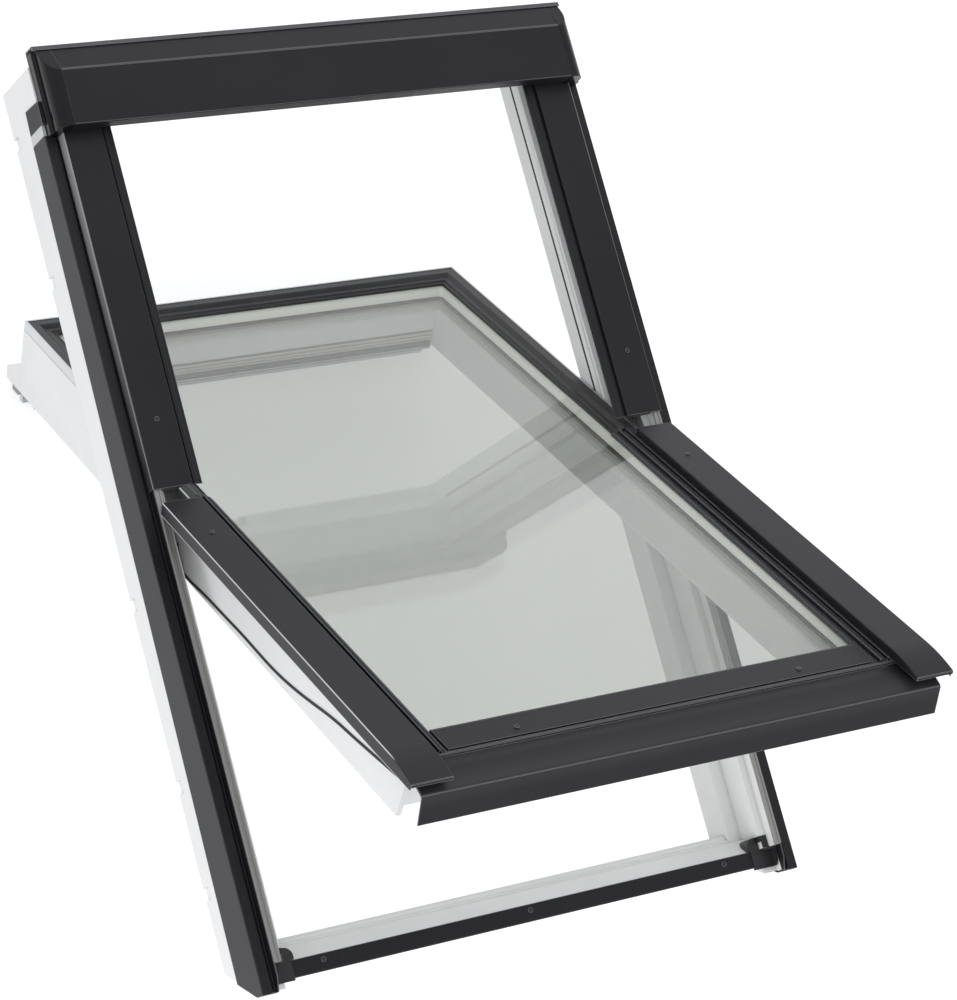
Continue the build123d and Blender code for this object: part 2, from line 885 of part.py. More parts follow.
spacer_out = 4.0
spacer_in = 10.0
with BuildPart() as spacer_bar:
    with BuildSketch(on_sash(level(pane_low + pane + fit))):
        with Locations((0, unit_mid)):
            RectangleRounded(
                2 * (unit_x - spacer_out),
                unit_top - unit_low - 2 * spacer_out,
                radius=4,
            )
            RectangleRounded(
                2 * (unit_x - spacer_in),
                unit_top - unit_low - 2 * spacer_in,
                radius=8,
                mode=Mode.SUBTRACT,
            )
    extrude(amount=pane_gap - 2 * fit)
save(spacer_bar, "spacer_bar")

seal_width = 13.0
with BuildPart() as glass_seal:
    with BuildSketch(on_sash(level(seat_z + fit))):
        with Locations((0, unit_mid)):
            Rectangle(2 * unit_x, unit_top - unit_low)
            RectangleRounded(
                2 * (unit_x - seal_width),
                unit_top - unit_low - 2 * seal_width,
                radius=6,
                mode=Mode.SUBTRACT,
            )
    extrude(amount=pane_low - seat_z - 2 * fit)
save(glass_seal, "glass_seal")

# Black ridged strips round the glass on the upper half, mitred at the corners
bead_x = sash_x - 1.9
bead_z = glass_top + fit
bead_top = bead_z + 9.6
ridge_profile = (
    (0, bead_z),
    (0.6, bead_z + 2.6),
    (2.2, bead_z + 3.4),
    (3.4, bead_z + 2.2),
    (6.2, bead_z + 2.6),
    (7.4, bead_z + 4.6),
    (12.8, bead_z + 4.9),
    (17.4, bead_z + 8.8),
    (19, bead_top),
    (bead_x - sight_x, bead_top),
    (bead_x - sight_x, sash_top_face + fit),
    (rebate_x - sight_x + 0.5, sash_top_face + fit),
    (rebate_x - sight_x + 0.5, bead_z),
)
bead_reach = bead_x - sight_x
lower_start = upper_cover_end - cover_joint_gap
upper_start = lower_start + 0.4
strip_split = pivot_y + 12
with BuildPart() as side_bead:
    with BuildSketch(on_sash(along(sight_top + bead_reach))):
        Polygon(*[(sight_x + a, b) for a, b in ridge_profile], align=None)
    extrude(amount=sight_top + bead_reach - upper_start)
    with BuildSketch(on_sash(level(sash_top_face - 1))):
        Polygon(
            (sight_x - 1, sight_top - 1.2),
            (bead_x + 1, sight_top + bead_reach + 0.8),
            (bead_x + 1, sight_top + bead_reach + 9),
            (sight_x - 1, sight_top + bead_reach + 9),
            align=None,
        )
    extrude(amount=30, mode=Mode.SUBTRACT)
    with BuildSketch(on_sash(level(sash_top_face - 1))):
        Polygon(
            (sight_x - 1, upper_start - 1),
            (groove_x - 1, upper_start - 1),
            (groove_x - 1, strip_split + 0.2),
            (sight_x - 1, strip_split + 0.2),
            align=None,
        )
    extrude(amount=30, mode=Mode.SUBTRACT)
save_pair(side_bead, "side_glazing_strip")

with BuildPart() as top_bead:
    with BuildSketch(on_sash(across(-bead_x))):
        Polygon(*[(sight_top + a, b) for a, b in ridge_profile], align=None)
    extrude(amount=2 * bead_x)
    for side in (-1, 1):
        with BuildSketch(on_sash(level(sash_top_face - 1))):
            Polygon(
                (side * (sight_x - 1), sight_top - 1),
                (side * (bead_x + 1), sight_top + bead_reach + 1),
                (side * (bead_x + 9), sight_top + bead_reach + 1),
                (side * (bead_x + 9), sight_top - 1),
                align=None,
            )
        extrude(amount=30, mode=Mode.SUBTRACT)
save(top_bead, "top_glazing_strip")

# Bare metal edge strip round the upper half, bent over the black strips
edge_low = sash_top_face + 0.4
edge_lap = bead_top + fit
edge_top = rail_top_y - 0.3
edge_out = sash_x - 0.2
bead_end = sight_top + bead_reach
with BuildPart() as edge_strip:
    with BuildSketch(on_sash(level(edge_low))):
        with Locations((0, upper_start)):
            Rectangle(2 * edge_out, edge_top - upper_start, align=(Align.CENTER, Align.MIN))
            Rectangle(
                2 * (bead_x + fit),
                bead_end + fit - upper_start,
                align=(Align.CENTER, Align.MIN),
                mode=Mode.SUBTRACT,
            )
    extrude(amount=edge_lap - edge_low)
    with BuildSketch(on_sash(level(edge_lap))):
        with Locations((0, upper_start)):
            Rectangle(2 * edge_out, edge_top - upper_start, align=(Align.CENTER, Align.MIN))
            Rectangle(
                2 * (bead_x - 1),
                bead_end - 1 - upper_start,
                align=(Align.CENTER, Align.MIN),
                mode=Mode.SUBTRACT,
            )
    extrude(amount=0.6)
save(edge_strip, "edge_strip")

# Lower side covers on the sash, closed at both ends, with a nose that bends down
nose_start = cover_nose_y + nose_length
nose_radius = nose_length ** 2 / (2 * nose_drop)
with BuildPart() as lower_cover:
    with BuildSketch(on_sash(along(lower_start))):
        with BuildLine():
            FilletPolyline(
                (cover_x, wall_low - 12),
                (cover_x, cover_height),
                (groove_x, cover_height),
                (groove_x, wall_low - 12),
                radius=bend,
            )
            offset(amount=sheet, side=Side.LEFT)
        make_face()
    with BuildLine(on_sash(across(0))):
        run = Line((lower_start, cover_height), (nose_start, cover_height))
        RadiusArc(run @ 1, (cover_nose_y, cover_height - nose_drop), -nose_radius)
    sweep()
    with BuildSketch(on_sash(level(outer_wall_low))):
        Rectangle(3 * half_w, 3 * half_l)
    extrude(amount=-60, mode=Mode.SUBTRACT)
    with BuildSketch(on_sash(level(wall_low))):
        Rectangle(2 * cover_x - 20, 3 * half_l)
    extrude(amount=-60, mode=Mode.SUBTRACT)
    with BuildSketch(on_sash(along(cover_nose_y + sheet))):
        Polygon(
            (groove_x, wall_low),
            (cover_x, wall_low),
            (cover_x, cover_height - nose_drop - 1.4),
            (groove_x, cover_height - nose_drop - 1.4),
            align=None,
        )
    extrude(amount=sheet)
    with BuildSketch(on_sash(along(lower_start))):
        with Locations((groove_x + sheet / 2, wall_low)):
            Rectangle(
                plate_out - groove_x - sheet / 2,
                cover_height - wall_low - sheet / 2,
                align=(Align.MIN, Align.MIN),
            )
    extrude(amount=sheet)
save_pair(lower_cover, "lower_side_cover")

# Carriers of the lower covers
lower_carrier = pivot_y - hinge_radius - 20
with BuildPart() as lower_rail:
    with BuildSketch(on_sash(along(lower_carrier))):
        Polygon(
            (groove_x + sheet + fit, sash_top_face + fit),
            (sash_x, sash_top_face + fit),
            (sash_x, carrier_top - 8),
            (recess_x + 2, carrier_top - 6),
            (recess_x + 2, carrier_top),
            (groove_x + sheet + fit, carrier_top),
            align=None,
        )
    extrude(amount=lower_carrier - nose_start - 2)
save_pair(lower_rail, "lower_cover_rail")

# Ribbed inner strips beside the glass on the lower half
with BuildPart() as inner_strip:
    with BuildSketch(on_sash(along(strip_split))):
        Polygon(
            (sight_x - 3, bead_z),
            (sight_x - 3, bead_z + 1.6),
            (sight_x - 0.4, bead_z + 2.4),
            (sight_x + 0.2, bead_z + 4.2),
            (sight_x + 2, bead_z + 4.2),
            (sight_x + 2.6, bead_z + 2),
            (sight_x + 6.6, bead_z + 2.2),
            (sight_x + 7.4, bead_z + 8.2),
            (sight_x + 10, bead_z + 8.6),
            (sight_x + 10.8, bead_z + 4),
            (groove_x - 4.4, bead_z + 4),
            (groove_x - 3.8, bead_z + 8.8),
            (groove_x - 1.2, bead_z + 9),
            (groove_x - 1.2, sash_top_face + fit),
            (rebate_x + 0.5, sash_top_face + fit),
            (rebate_x + 0.5, bead_z),
            align=None,
        )
    extrude(amount=strip_split - strip_end)
save_pair(inner_strip, "lower_inner_strip")

# Bottom cover: a flat strip over the glass edge, a stepped bead, then a
# curved slope that ends in the apron
strip_z = glass_top + 5
apron_low = strip_z - 15 - apron_height
apron_half = half_w - apron_inset
with BuildPart() as bottom_cover:
    with BuildSketch(on_sash(across(-sight_x + 3.2))):
        Polygon(
            (sight_bottom, bead_z),
            (sight_bottom, strip_z - 1.2),
            (sight_bottom - 1.5, strip_z),
            (strip_end + 3, strip_z + 0.6),
            (strip_end + 2.2, strip_z - 2),
            (strip_end - 4, strip_z - 2),
            (strip_end - 4, strip_z - 3.4),
            (unit_low - 3, strip_z - 3.4),
            (unit_low - 3, bead_z),
            align=None,
        )
    extrude(amount=2 * (sight_x - 3.2))
    with BuildSketch(on_sash(across(-apron_half))):
        with BuildLine():
            rim = Polyline(
                (strip_end - 0.4, strip_z - 3.2),
                (strip_end - 0.4, strip_z - 0.6),
                (strip_end - 1.6, strip_z + 0.6),
                (strip_end - 5.6, strip_z + 0.2),
                (strip_end - 6.6, strip_z - 1.8),
                (strip_end - 10.5, strip_z - 3),
            )
            bow = ThreePointArc(rim @ 1, (strip_end - 32, strip_z - 4.4), (apron_y + 3, strip_z - 10.5))
            lip = ThreePointArc(bow @ 1, (apron_y + 0.8, strip_z - 12.2), (apron_y, strip_z - 15))
            Polyline(
                lip @ 1,
                (apron_y, apron_low),
                (apron_y + sheet, apron_low),
                (apron_y + sheet, strip_z - 14),
                (apron_y + 6, strip_z - 12),
                (strip_end - 30, strip_z - 6.4),
                (strip_end - 12, strip_z - 4.9),
                rim @ 0,
            )
        make_face()
    extrude(amount=2 * apron_half)
save(bottom_cover, "bottom_cover")

# Cap screws on the sash: two in the lower covers, two in the bottom cover
lower_screw_y = lower_carrier - 10
bottom_screw_y = strip_end + 17
bottom_screw_x = sight_x - bottom_screw_inset
with BuildPart() as sash_screws:
    with BuildSketch(on_sash(level(cover_height))):
        with Locations((-screw_x, lower_screw_y), (screw_x, lower_screw_y)):
            Circle(screw_radius)
    extrude(amount=1.2)
    with BuildSketch(on_sash(level(strip_z + 0.5))):
        with Locations((-bottom_screw_x, bottom_screw_y), (bottom_screw_x, bottom_screw_y)):
            Circle(screw_radius)
    extrude(amount=1.3)
save(sash_screws, "sash_screws")

# Curved gaskets on the sash's sides: from beside the pivot down to the sill
def beside(points, shift):
    """The chain of points moved sideways by shift."""
    moved = []
    for here, (y, z) in enumerate(points):
        y0, z0 = points[max(here - 1, 0)]
        y1, z1 = points[min(here + 1, len(points) - 1)]
        run = math.hypot(y1 - y0, z1 - z0)
        moved.append((y - shift * (z1 - z0) / run, z + shift * (y1 - y0) / run))
    return moved


seal_run = pivot_y - sash_low
seal_shape = (
    (-0.009, 44.5),
    (0.095, 38),
    (0.212, 30.5),
    (0.276, 26.8),
    (0.398, 15),
    (0.471, 8.8),
    (0.547, 5),
    (0.708, 4.4),
    (0.788, 2.9),
    (0.912, 0.3),
    (0.994, -0.7),
    (1.015, 3.5),
    (1.026, 13),
    (1.036, 29),
)
seal_line = [(sash_low + share * seal_run, z) for share, z in seal_shape]
with BuildPart() as sash_seal:
    with BuildSketch(on_sash(Plane.YZ.offset(sash_x))):
        with BuildLine():
            upper_curve = Spline(*beside(seal_line, 1.7))
            lower_curve = Spline(*beside(seal_line, -1.7))
            Line(upper_curve @ 0, lower_curve @ 0)
            Line(upper_curve @ 1, lower_curve @ 1)
        make_face()
    extrude(amount=running_gap - 0.4)
save_pair(sash_seal, "sash_seal")

# Control bar on the room side of the top rail, with three finger grooves
bar_half = sash_x - bar_inset
bar_y = rail_top_y + bar_out
bar_z = sash_room - bar_drop
grip = (
    (-11.3, -18.2),
    (-9.4, -17.6),
    (-8.5, -14.8),
    (-10, -14),
    (-9.3, -11),
    (-7.4, -10.4),
    (-6.8, -7.6),
    (-8.3, -7),
    (-7.6, -4),
    (-5.8, -3.4),
    (-5.1, -0.6),
    (-6.7, 0),
    (-6, 3),
)
with BuildPart() as control_bar:
    with BuildSketch(on_sash(across(-bar_half))):
        with BuildLine():
            back = Polyline(
                (bar_y + 5, bar_z + 2),
                (bar_y - 4, bar_z - bar_reach + 4),
                (bar_y - 8, bar_z - bar_reach),
                (bar_y - 14, bar_z - bar_reach + 3),
            )
            Polyline(back @ 1, *[(bar_y + a, bar_z + b) for a, b in grip])
            ThreePointArc((bar_y - 6, bar_z + 3), (bar_y, bar_z + 6.2), back @ 0)
        make_face()
    extrude(amount=2 * bar_half)
    with BuildSketch(on_sash(across(-bar_half - 1))):
        with Locations((bar_y - 11, bar_z - bar_reach)):
            Rectangle(26, 26)
    extrude(amount=19, mode=Mode.SUBTRACT)
    with BuildSketch(on_sash(across(bar_half - 18))):
        with Locations((bar_y - 11, bar_z - bar_reach)):
            Rectangle(26, 26)
    extrude(amount=19, mode=Mode.SUBTRACT)
    with BuildSketch(on_sash(across(-bar_half - 1))):
        with Locations((bar_y, bar_z)):
            Circle(2.5)
    extrude(amount=2 * bar_half + 2, mode=Mode.SUBTRACT)
save(control_bar, "control_bar")

# Bearings that carry the bar, with a pin into each end
with BuildPart() as bar_ends:
    for side in (-1, 1):
        with BuildSketch(on_sash(across(side * (bar_half + 0.4)))):
            with Locations((bar_y, (bar_z + sash_room) / 2)):
                RectangleRounded(20, sash_room - bar_z + 8, 2.5)
            with Locations((bar_y, sash_room)):
                Rectangle(40, 40, align=(Align.CENTER, Align.MIN), mode=Mode.SUBTRACT)
        extrude(amount=side * 7)
        with BuildSketch(on_sash(across(side * (bar_half + 0.4)))):
            with Locations((bar_y, bar_z)):
                Circle(2.5 - slide_fit)
        extrude(amount=-side * 14)
save(bar_ends, "control_bar_ends")

# Latch bolt in the top rail's flange
with BuildPart() as latch_bolt:
    with BuildSketch(on_sash(level(1))):
        with Locations((0, flange_top - 0.4)):
            Rectangle(bolt_width, 17, align=(Align.CENTER, Align.MAX))
    extrude(amount=bolt_height)
save(latch_bolt, "latch_bolt")
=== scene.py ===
import bpy
import numpy as np
from mathutils import Matrix, Vector


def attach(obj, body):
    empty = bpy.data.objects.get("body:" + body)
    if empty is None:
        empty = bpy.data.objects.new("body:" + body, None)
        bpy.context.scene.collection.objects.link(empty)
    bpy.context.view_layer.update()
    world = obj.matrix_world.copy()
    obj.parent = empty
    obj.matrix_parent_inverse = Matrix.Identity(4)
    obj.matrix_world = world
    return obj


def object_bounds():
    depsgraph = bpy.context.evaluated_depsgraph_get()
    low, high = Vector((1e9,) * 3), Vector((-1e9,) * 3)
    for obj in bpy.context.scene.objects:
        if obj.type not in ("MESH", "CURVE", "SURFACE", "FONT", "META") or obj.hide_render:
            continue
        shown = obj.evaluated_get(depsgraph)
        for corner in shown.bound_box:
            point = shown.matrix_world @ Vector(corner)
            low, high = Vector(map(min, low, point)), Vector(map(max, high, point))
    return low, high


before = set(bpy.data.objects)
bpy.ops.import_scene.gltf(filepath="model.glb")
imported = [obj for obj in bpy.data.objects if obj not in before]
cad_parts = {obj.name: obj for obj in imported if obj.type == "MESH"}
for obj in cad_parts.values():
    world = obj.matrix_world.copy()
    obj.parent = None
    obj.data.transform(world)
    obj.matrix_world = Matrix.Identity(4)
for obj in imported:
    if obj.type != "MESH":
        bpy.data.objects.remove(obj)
cad_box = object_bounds()
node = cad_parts

# The viewpoint: from the lower left and well above the roof's plane, with a
# long lens. Right, down and forward are the picture's own directions.
eye = (-2.1279, -0.8138, 3.8764)
picture_right = Vector((0.85684, -0.25850, 0.44611))
picture_down = Vector((-0.14285, -0.95038, -0.27634))
looking = Vector((0.49541, 0.17305, -0.85125))
picture_height = 24.0
lens_in_rows = 3480.3
picture_rows = 1000
camera = bpy.data.objects.new("camera", bpy.data.cameras.new("camera"))
bpy.context.collection.objects.link(camera)
turned = Matrix((picture_right, -picture_down, -looking)).transposed()
camera.matrix_world = Matrix.Translation(eye) @ turned.to_4x4()
camera.data.sensor_fit = "VERTICAL"
camera.data.sensor_height = picture_height
camera.data.lens = lens_in_rows / picture_rows * picture_height
camera.data.clip_end = 40
bpy.context.scene.camera = camera
bpy.context.scene.view_settings.view_transform = "Standard"

# The floor: one pale sheet just under the lowest corner of the opened sash.
# It shows white to the camera, and keeps the soft shadow of the window.
floor_drop = 0.006
floor_z = cad_box[0][2] - floor_drop
reach = 9.0
floor_grey = (0.86, 0.86, 0.86, 1)
floor_glow = 0.42
plain_white = (1, 1, 1, 1)


def join(tree, a, b):
    """Links one socket to another in a material's or the world's node tree."""
    tree.links.new(a, b)


def node_of(tree, kind, **values):
    """A new node with its plain properties and its named inputs filled in."""
    n = tree.nodes.new(kind)
    for key, value in values.items():
        if hasattr(n, key):
            setattr(n, key, value)
        else:
            n.inputs[key.replace("_", " ")].default_value = value
    return n


def any_ray(tree, *kinds):
    """A socket that is 1 for the kinds of ray named and 0 for all others."""
    path = node_of(tree, "ShaderNodeLightPath")
    found = path.outputs[kinds[0]]
    for kind in kinds[1:]:
        more = node_of(tree, "ShaderNodeMath", operation="MAXIMUM")
        join(tree, found, more.inputs[0])
        join(tree, path.outputs[kind], more.inputs[1])
        found = more.outputs[0]
    return found


def either_shader(tree, share, first, second):
    """The first shader where the share is 0, and the second where it is 1."""
    pick = node_of(tree, "ShaderNodeMixShader")
    join(tree, share, pick.inputs[0])
    join(tree, first, pick.inputs[1])
    join(tree, second, pick.inputs[2])
    return pick.outputs[0]


def sheet_mesh(name, points, faces):
    """A mesh object from an array of points and a list or array of faces."""
    mesh = bpy.data.meshes.new(name)
    corners = [list(map(int, f)) for f in faces]
    mesh.from_pydata(np.asarray(points, float).tolist(), [], corners)
    mesh.validate()
    mesh.update()
    obj = bpy.data.objects.new(name, mesh)
    bpy.context.collection.objects.link(obj)
    return obj


floor_corners = [(x * reach, y * reach, floor_z) for x, y in ((-1, -1), (1, -1), (1, 1), (-1, 1))]
floor = sheet_mesh("floor", floor_corners, [(0, 1, 2, 3)])
pale = bpy.data.materials.new("pale_floor")
pale.use_nodes = True
tree = pale.node_tree
tree.nodes.clear()
matt = node_of(tree, "ShaderNodeBsdfDiffuse", Color=floor_grey)
glow = node_of(tree, "ShaderNodeEmission", Color=plain_white, Strength=floor_glow)
both = node_of(tree, "ShaderNodeAddShader")
join(tree, matt.outputs[0], both.inputs[0])
join(tree, glow.outputs[0], both.inputs[1])
seen = any_ray(tree, "Is Camera Ray", "Is Glossy Ray", "Is Transmission Ray")
shown = either_shader(tree, seen, matt.outputs[0], both.outputs[0])
join(tree, shown, node_of(tree, "ShaderNodeOutputMaterial").inputs[0])
floor.data.materials.append(pale)

# The light: an even pale sky, with one broad soft panel up on the left, a low
# one beside it that reaches under the sash, and a weaker one behind the head.
sky_colour = (0.96, 0.975, 1.0, 1)
sky_strength = 0.80
world = bpy.data.worlds.new("sky")
bpy.context.scene.world = world
world.use_nodes = True
tree = world.node_tree
tree.nodes.clear()
sky = node_of(tree, "ShaderNodeBackground", Color=sky_colour, Strength=sky_strength)
backdrop = node_of(tree, "ShaderNodeBackground", Color=plain_white, Strength=1.0)
seen = any_ray(tree, "Is Camera Ray", "Is Transmission Ray")
shown = either_shader(tree, seen, sky.outputs[0], backdrop.outputs[0])
join(tree, shown, node_of(tree, "ShaderNodeOutputWorld").inputs[0])


def soft_panel(name, place, target, size, power):
    """A square lamp of that size at place, facing target."""
    lamp = bpy.data.lights.new(name, "AREA")
    lamp.shape = "SQUARE"
    lamp.size = size
    lamp.energy = power
    obj = bpy.data.objects.new(name, lamp)
    bpy.context.collection.objects.link(obj)
    away = (Vector(place) - Vector(target)).normalized()
    facing = away.to_track_quat("Z", "Y").to_matrix().to_4x4()
    obj.matrix_world = Matrix.Translation(place) @ facing


soft_panel("left_panel", (-3.4, -1.6, 3.6), (0, 0, 0), 3.0, 22)
soft_panel("low_panel", (-2.8, -2.7, 0.3), (0, 0, 0.1), 1.6, 30)
soft_panel("head_panel", (1.8, 3.4, 3.2), (0, 0, 0), 2.6, 14)

# Frame members: white plastic profiles, extruded in long lengths, cut and
# welded at the corners. They have a satin skin with faint draw lines along
# their length, and painted shade that greys them in corners and recesses.
frame_white = (0.86, 0.86, 0.855)
cloud_shade = 0.955
# Painted shade: the grey laid into corners and recesses of the white plastic
corner_painted_shade = (0.74, 0.73, 0.72)
corner_reach = 0.012
white_roughness = (0.27, 0.42)
line_length = 300

# The sash is drawn opened by this angle, in degrees, about its pivot
sash_turn = 45.0
pivot_y, pivot_z = 0.035, 0.135


def new_finish(name):
    """A new material, its node tree and its skin, the Principled shader."""
    mat = bpy.data.materials.new(name)
    mat.use_nodes = True
    return mat, mat.node_tree, mat.node_tree.nodes["Principled BSDF"]


def laid_flat(tree, turn):
    """Object coordinates turned back by turn degrees about the pivot, so that
    a pattern lies on the opened sash as it does with the sash shut."""
    where = node_of(tree, "ShaderNodeTexCoord")
    flat = node_of(tree, "ShaderNodeMapping")
    angle = np.radians(turn)
    back_y = pivot_y - pivot_y * np.cos(angle) + pivot_z * np.sin(angle)
    back_z = pivot_z - pivot_y * np.sin(angle) - pivot_z * np.cos(angle)
    flat.inputs["Rotation"].default_value = (angle, 0, 0)
    flat.inputs["Location"].default_value = (0, back_y, back_z)
    join(tree, where.outputs["Object"], flat.inputs["Vector"])
    return flat.outputs["Vector"]


def drawn_out(tree, flat, run, fine):
    """Those coordinates made finer, and long along the run, so that a noise
    on them gives lines that way."""
    long = node_of(tree, "ShaderNodeMapping")
    scale = [fine, fine, fine]
    scale["XYZ".index(run)] = fine / line_length
    long.inputs["Scale"].default_value = scale
    join(tree, flat, long.inputs["Vector"])
    return long.outputs["Vector"]


def noise_on(tree, vector, scale, detail, rough=0.5):
    """The strength of a noise of that scale on a vector."""
    noise = node_of(tree, "ShaderNodeTexNoise", Scale=scale, Detail=detail, Roughness=rough)
    join(tree, vector, noise.inputs["Vector"])
    return noise.outputs["Fac"]


def two_tones(tree, value, first, second):
    """A colour that changes with a value. First and second are each a place
    on the value's way from 0 to 1, and the colour there."""
    ramp = node_of(tree, "ShaderNodeValToRGB")
    for stop, (position, colour) in zip(ramp.color_ramp.elements, (first, second)):
        stop.position = position
        stop.color = tuple(colour) + (1,)
    join(tree, value, ramp.inputs["Fac"])
    return ramp.outputs["Color"]


def spread(tree, value, low, high):
    """A value from 0 to 1 brought between low and high."""
    span = node_of(tree, "ShaderNodeMapRange", To_Min=low, To_Max=high)
    join(tree, value, span.inputs["Value"])
    return span.outputs["Result"]


def share_of(tree, value, start, end):
    """How far a value has come from start to end, from 0 to 1."""
    span = node_of(tree, "ShaderNodeMapRange", From_Min=start, From_Max=end)
    join(tree, value, span.inputs["Value"])
    return span.outputs["Result"]


def bump_of(tree, height, strength, depth, normal=None):
    """A normal that follows a height, laid on another normal where given."""
    bump = node_of(tree, "ShaderNodeBump", Strength=strength, Distance=depth)
    join(tree, height, bump.inputs["Height"])
    if normal is not None:
        join(tree, normal, bump.inputs["Normal"])
    return bump.outputs["Normal"]


def lay_over(mat, share, colour, blend="MIX"):
    """Mixes a colour over the one that the skin has so far. The share and the
    colour are each a socket or a plain value."""
    tree = mat.node_tree
    skin = tree.nodes["Principled BSDF"]
    laid = node_of(tree, "ShaderNodeMix", data_type="RGBA", blend_type=blend)
    for slot, what in ((0, share), (7, colour)):
        if isinstance(what, bpy.types.NodeSocket):
            join(tree, what, laid.inputs[slot])
        else:
            laid.inputs[slot].default_value = what
    join(tree, skin.inputs["Base Color"].links[0].from_socket, laid.inputs[6])
    join(tree, laid.outputs[2], skin.inputs["Base Color"])


def white_profile(name, turn, run):
    """Satin white plastic: colour moves a little with a slow cloud, with painted
    shade that darkens corners and recesses, and fine lines along the run as bump."""
    mat, tree, skin = new_finish(name)
    flat = laid_flat(tree, turn)
    cloud = noise_on(tree, flat, 9.0, 4.0)
    shaded = tuple(c * cloud_shade for c in frame_white)
    white = two_tones(tree, cloud, (0.32, shaded), (0.68, frame_white))
    join(tree, white, skin.inputs["Base Color"])
    # Painted shade: an occlusion test darkens the white in corners and recesses
    corner = node_of(tree, "ShaderNodeAmbientOcclusion", samples=4, Distance=corner_reach)
    painted_corner_shade = two_tones(tree, corner.outputs["AO"], (0.25, corner_painted_shade), (0.75, (1, 1, 1)))
    lay_over(mat, 1.0, painted_corner_shade, "MULTIPLY")
    both = node_of(tree, "ShaderNodeMath", operation="ADD")
    join(tree, noise_on(tree, drawn_out(tree, flat, run, 700), 1.0, 2.0), both.inputs[0])
    join(tree, noise_on(tree, flat, 30.0, 2.0), both.inputs[1])
    edge = node_of(tree, "ShaderNodeBevel", samples=4, Radius=0.0012)
    normal = bump_of(tree, both.outputs[0], 0.1, 0.0004, edge.outputs["Normal"])
    join(tree, normal, skin.inputs["Normal"])
    join(tree, spread(tree, cloud, *white_roughness), skin.inputs["Roughness"])
    skin.inputs["Specular IOR Level"].default_value = 0.42
    return mat


def dress(mat, *names):
    """Puts the material on those carried-over pieces."""
    for n in names:
        mesh = node[n].data
        mesh.materials.clear()
        mesh.materials.append(mat)


white_up = white_profile("white_plastic_members", 0, "Y")
white_over = white_profile("white_plastic_rails", 0, "X")
dress(white_up, "frame_side_left", "frame_side_right")
dress(white_over, "frame_head", "frame_sill")

# Outer covers: folded aluminium sheet with a baked dark grey coat, satin and
# slightly textured, clipped over the frame's outer edge and screwed to the
# sill. A paler grey is painted along the folds as a highlight.
cover_grey = (0.0085, 0.0080, 0.0105)
# Painted highlight: the paler grey laid along the coats' sharp edges
fold_highlight_grey = (0.34, 0.34, 0.36)
# Painted highlight: a pale line along the cladding's outer fold
cladding_fold_highlights = [(0.3903, 0.0957, 0.0013)]
cladding_highlight_grey = (0.33, 0.33, 0.36)
sharp_line = (0.7, 1.0)


def dark_cover(name, turn, grey=cover_grey, shine=0.33, fold=fold_highlight_grey):
    """Dark baked coat: a fine grain as bump, slow changes of sheen, thin dust
    that lightens it in patches, and a painted highlight where an edge is sharp."""
    mat, tree, skin = new_finish(name)
    flat = laid_flat(tree, turn)
    patch = noise_on(tree, flat, 7.0, 6.0, 0.62)
    dusty = tuple(c * 1.35 + 0.002 for c in grey)
    join(tree, two_tones(tree, patch, (0.35, grey), (0.72, dusty)), skin.inputs["Base Color"])
    edge = node_of(tree, "ShaderNodeBevel", samples=6, Radius=0.0011)
    shape = node_of(tree, "ShaderNodeNewGeometry")
    bent = node_of(tree, "ShaderNodeVectorMath", operation="DOT_PRODUCT")
    join(tree, edge.outputs["Normal"], bent.inputs[0])
    join(tree, shape.outputs["Normal"], bent.inputs[1])
    # Painted highlight: a paler grey where the bevelled normal turns from the face's, along sharp
    # edges
    painted_edge_highlight = node_of(tree, "ShaderNodeMapRange", From_Min=0.995, From_Max=0.90, To_Max=0.85)
    join(tree, bent.outputs["Value"], painted_edge_highlight.inputs["Value"])
    lay_over(mat, painted_edge_highlight.outputs["Result"], tuple(fold) + (1,))
    grain = noise_on(tree, flat, 900.0, 2.0)
    normal = bump_of(tree, grain, 0.12, 0.0002, edge.outputs["Normal"])
    join(tree, normal, skin.inputs["Normal"])
    join(tree, spread(tree, patch, shine, shine + 0.16), skin.inputs["Roughness"])
    skin.inputs["Specular IOR Level"].default_value = 0.30
    return mat


def painted_fold_highlights(mat, turn, run, spots, pale):
    """Paints thin pale highlight lines where a sheet is folded. Each spot is a place
    across the run, a height and a half width in metres; the line is where the
    distance to that place, measured across the run, is under the half width.
    Two more numbers make it a soft highlight band: its sharp share and its strength."""
    tree = mat.node_tree
    place = node_of(tree, "ShaderNodeSeparateXYZ")
    section = node_of(tree, "ShaderNodeCombineXYZ")
    join(tree, laid_flat(tree, turn), place.inputs[0])
    if run == "Y":
        either = node_of(tree, "ShaderNodeMath", operation="ABSOLUTE")
        join(tree, place.outputs["X"], either.inputs[0])
        join(tree, either.outputs[0], section.inputs["X"])
    else:
        join(tree, place.outputs["Y"], section.inputs["X"])
    join(tree, place.outputs["Z"], section.inputs["Y"])
    marked = None
    for across, height, half, *soft in spots:
        gap = node_of(tree, "ShaderNodeVectorMath", operation="DISTANCE")
        gap.inputs[1].default_value = (across, height, 0)
        join(tree, section.outputs[0], gap.inputs[0])
        sharp, strength = soft or sharp_line
        line = node_of(tree, "ShaderNodeMapRange", From_Min=half, From_Max=half * sharp)
        line.inputs["To Max"].default_value = strength
        join(tree, gap.outputs["Value"], line.inputs["Value"])
        if marked is None:
            marked = line.outputs["Result"]
        else:
            more = node_of(tree, "ShaderNodeMath", operation="MAXIMUM")
            join(tree, marked, more.inputs[0])
            join(tree, line.outputs["Result"], more.inputs[1])
            marked = more.outputs[0]
    # Painted highlight laid over the coat along the folds
    lay_over(mat, marked, tuple(pale) + (1,))


cladding_coat = dark_cover("dark_cover_on_frame", 0)
painted_fold_highlights(cladding_coat, 0, "Y", cladding_fold_highlights, cladding_highlight_grey)
dress(cladding_coat, "side_cladding_left", "side_cladding_right")
dress(dark_cover("dark_sill_cover", 0), "sill_cladding")
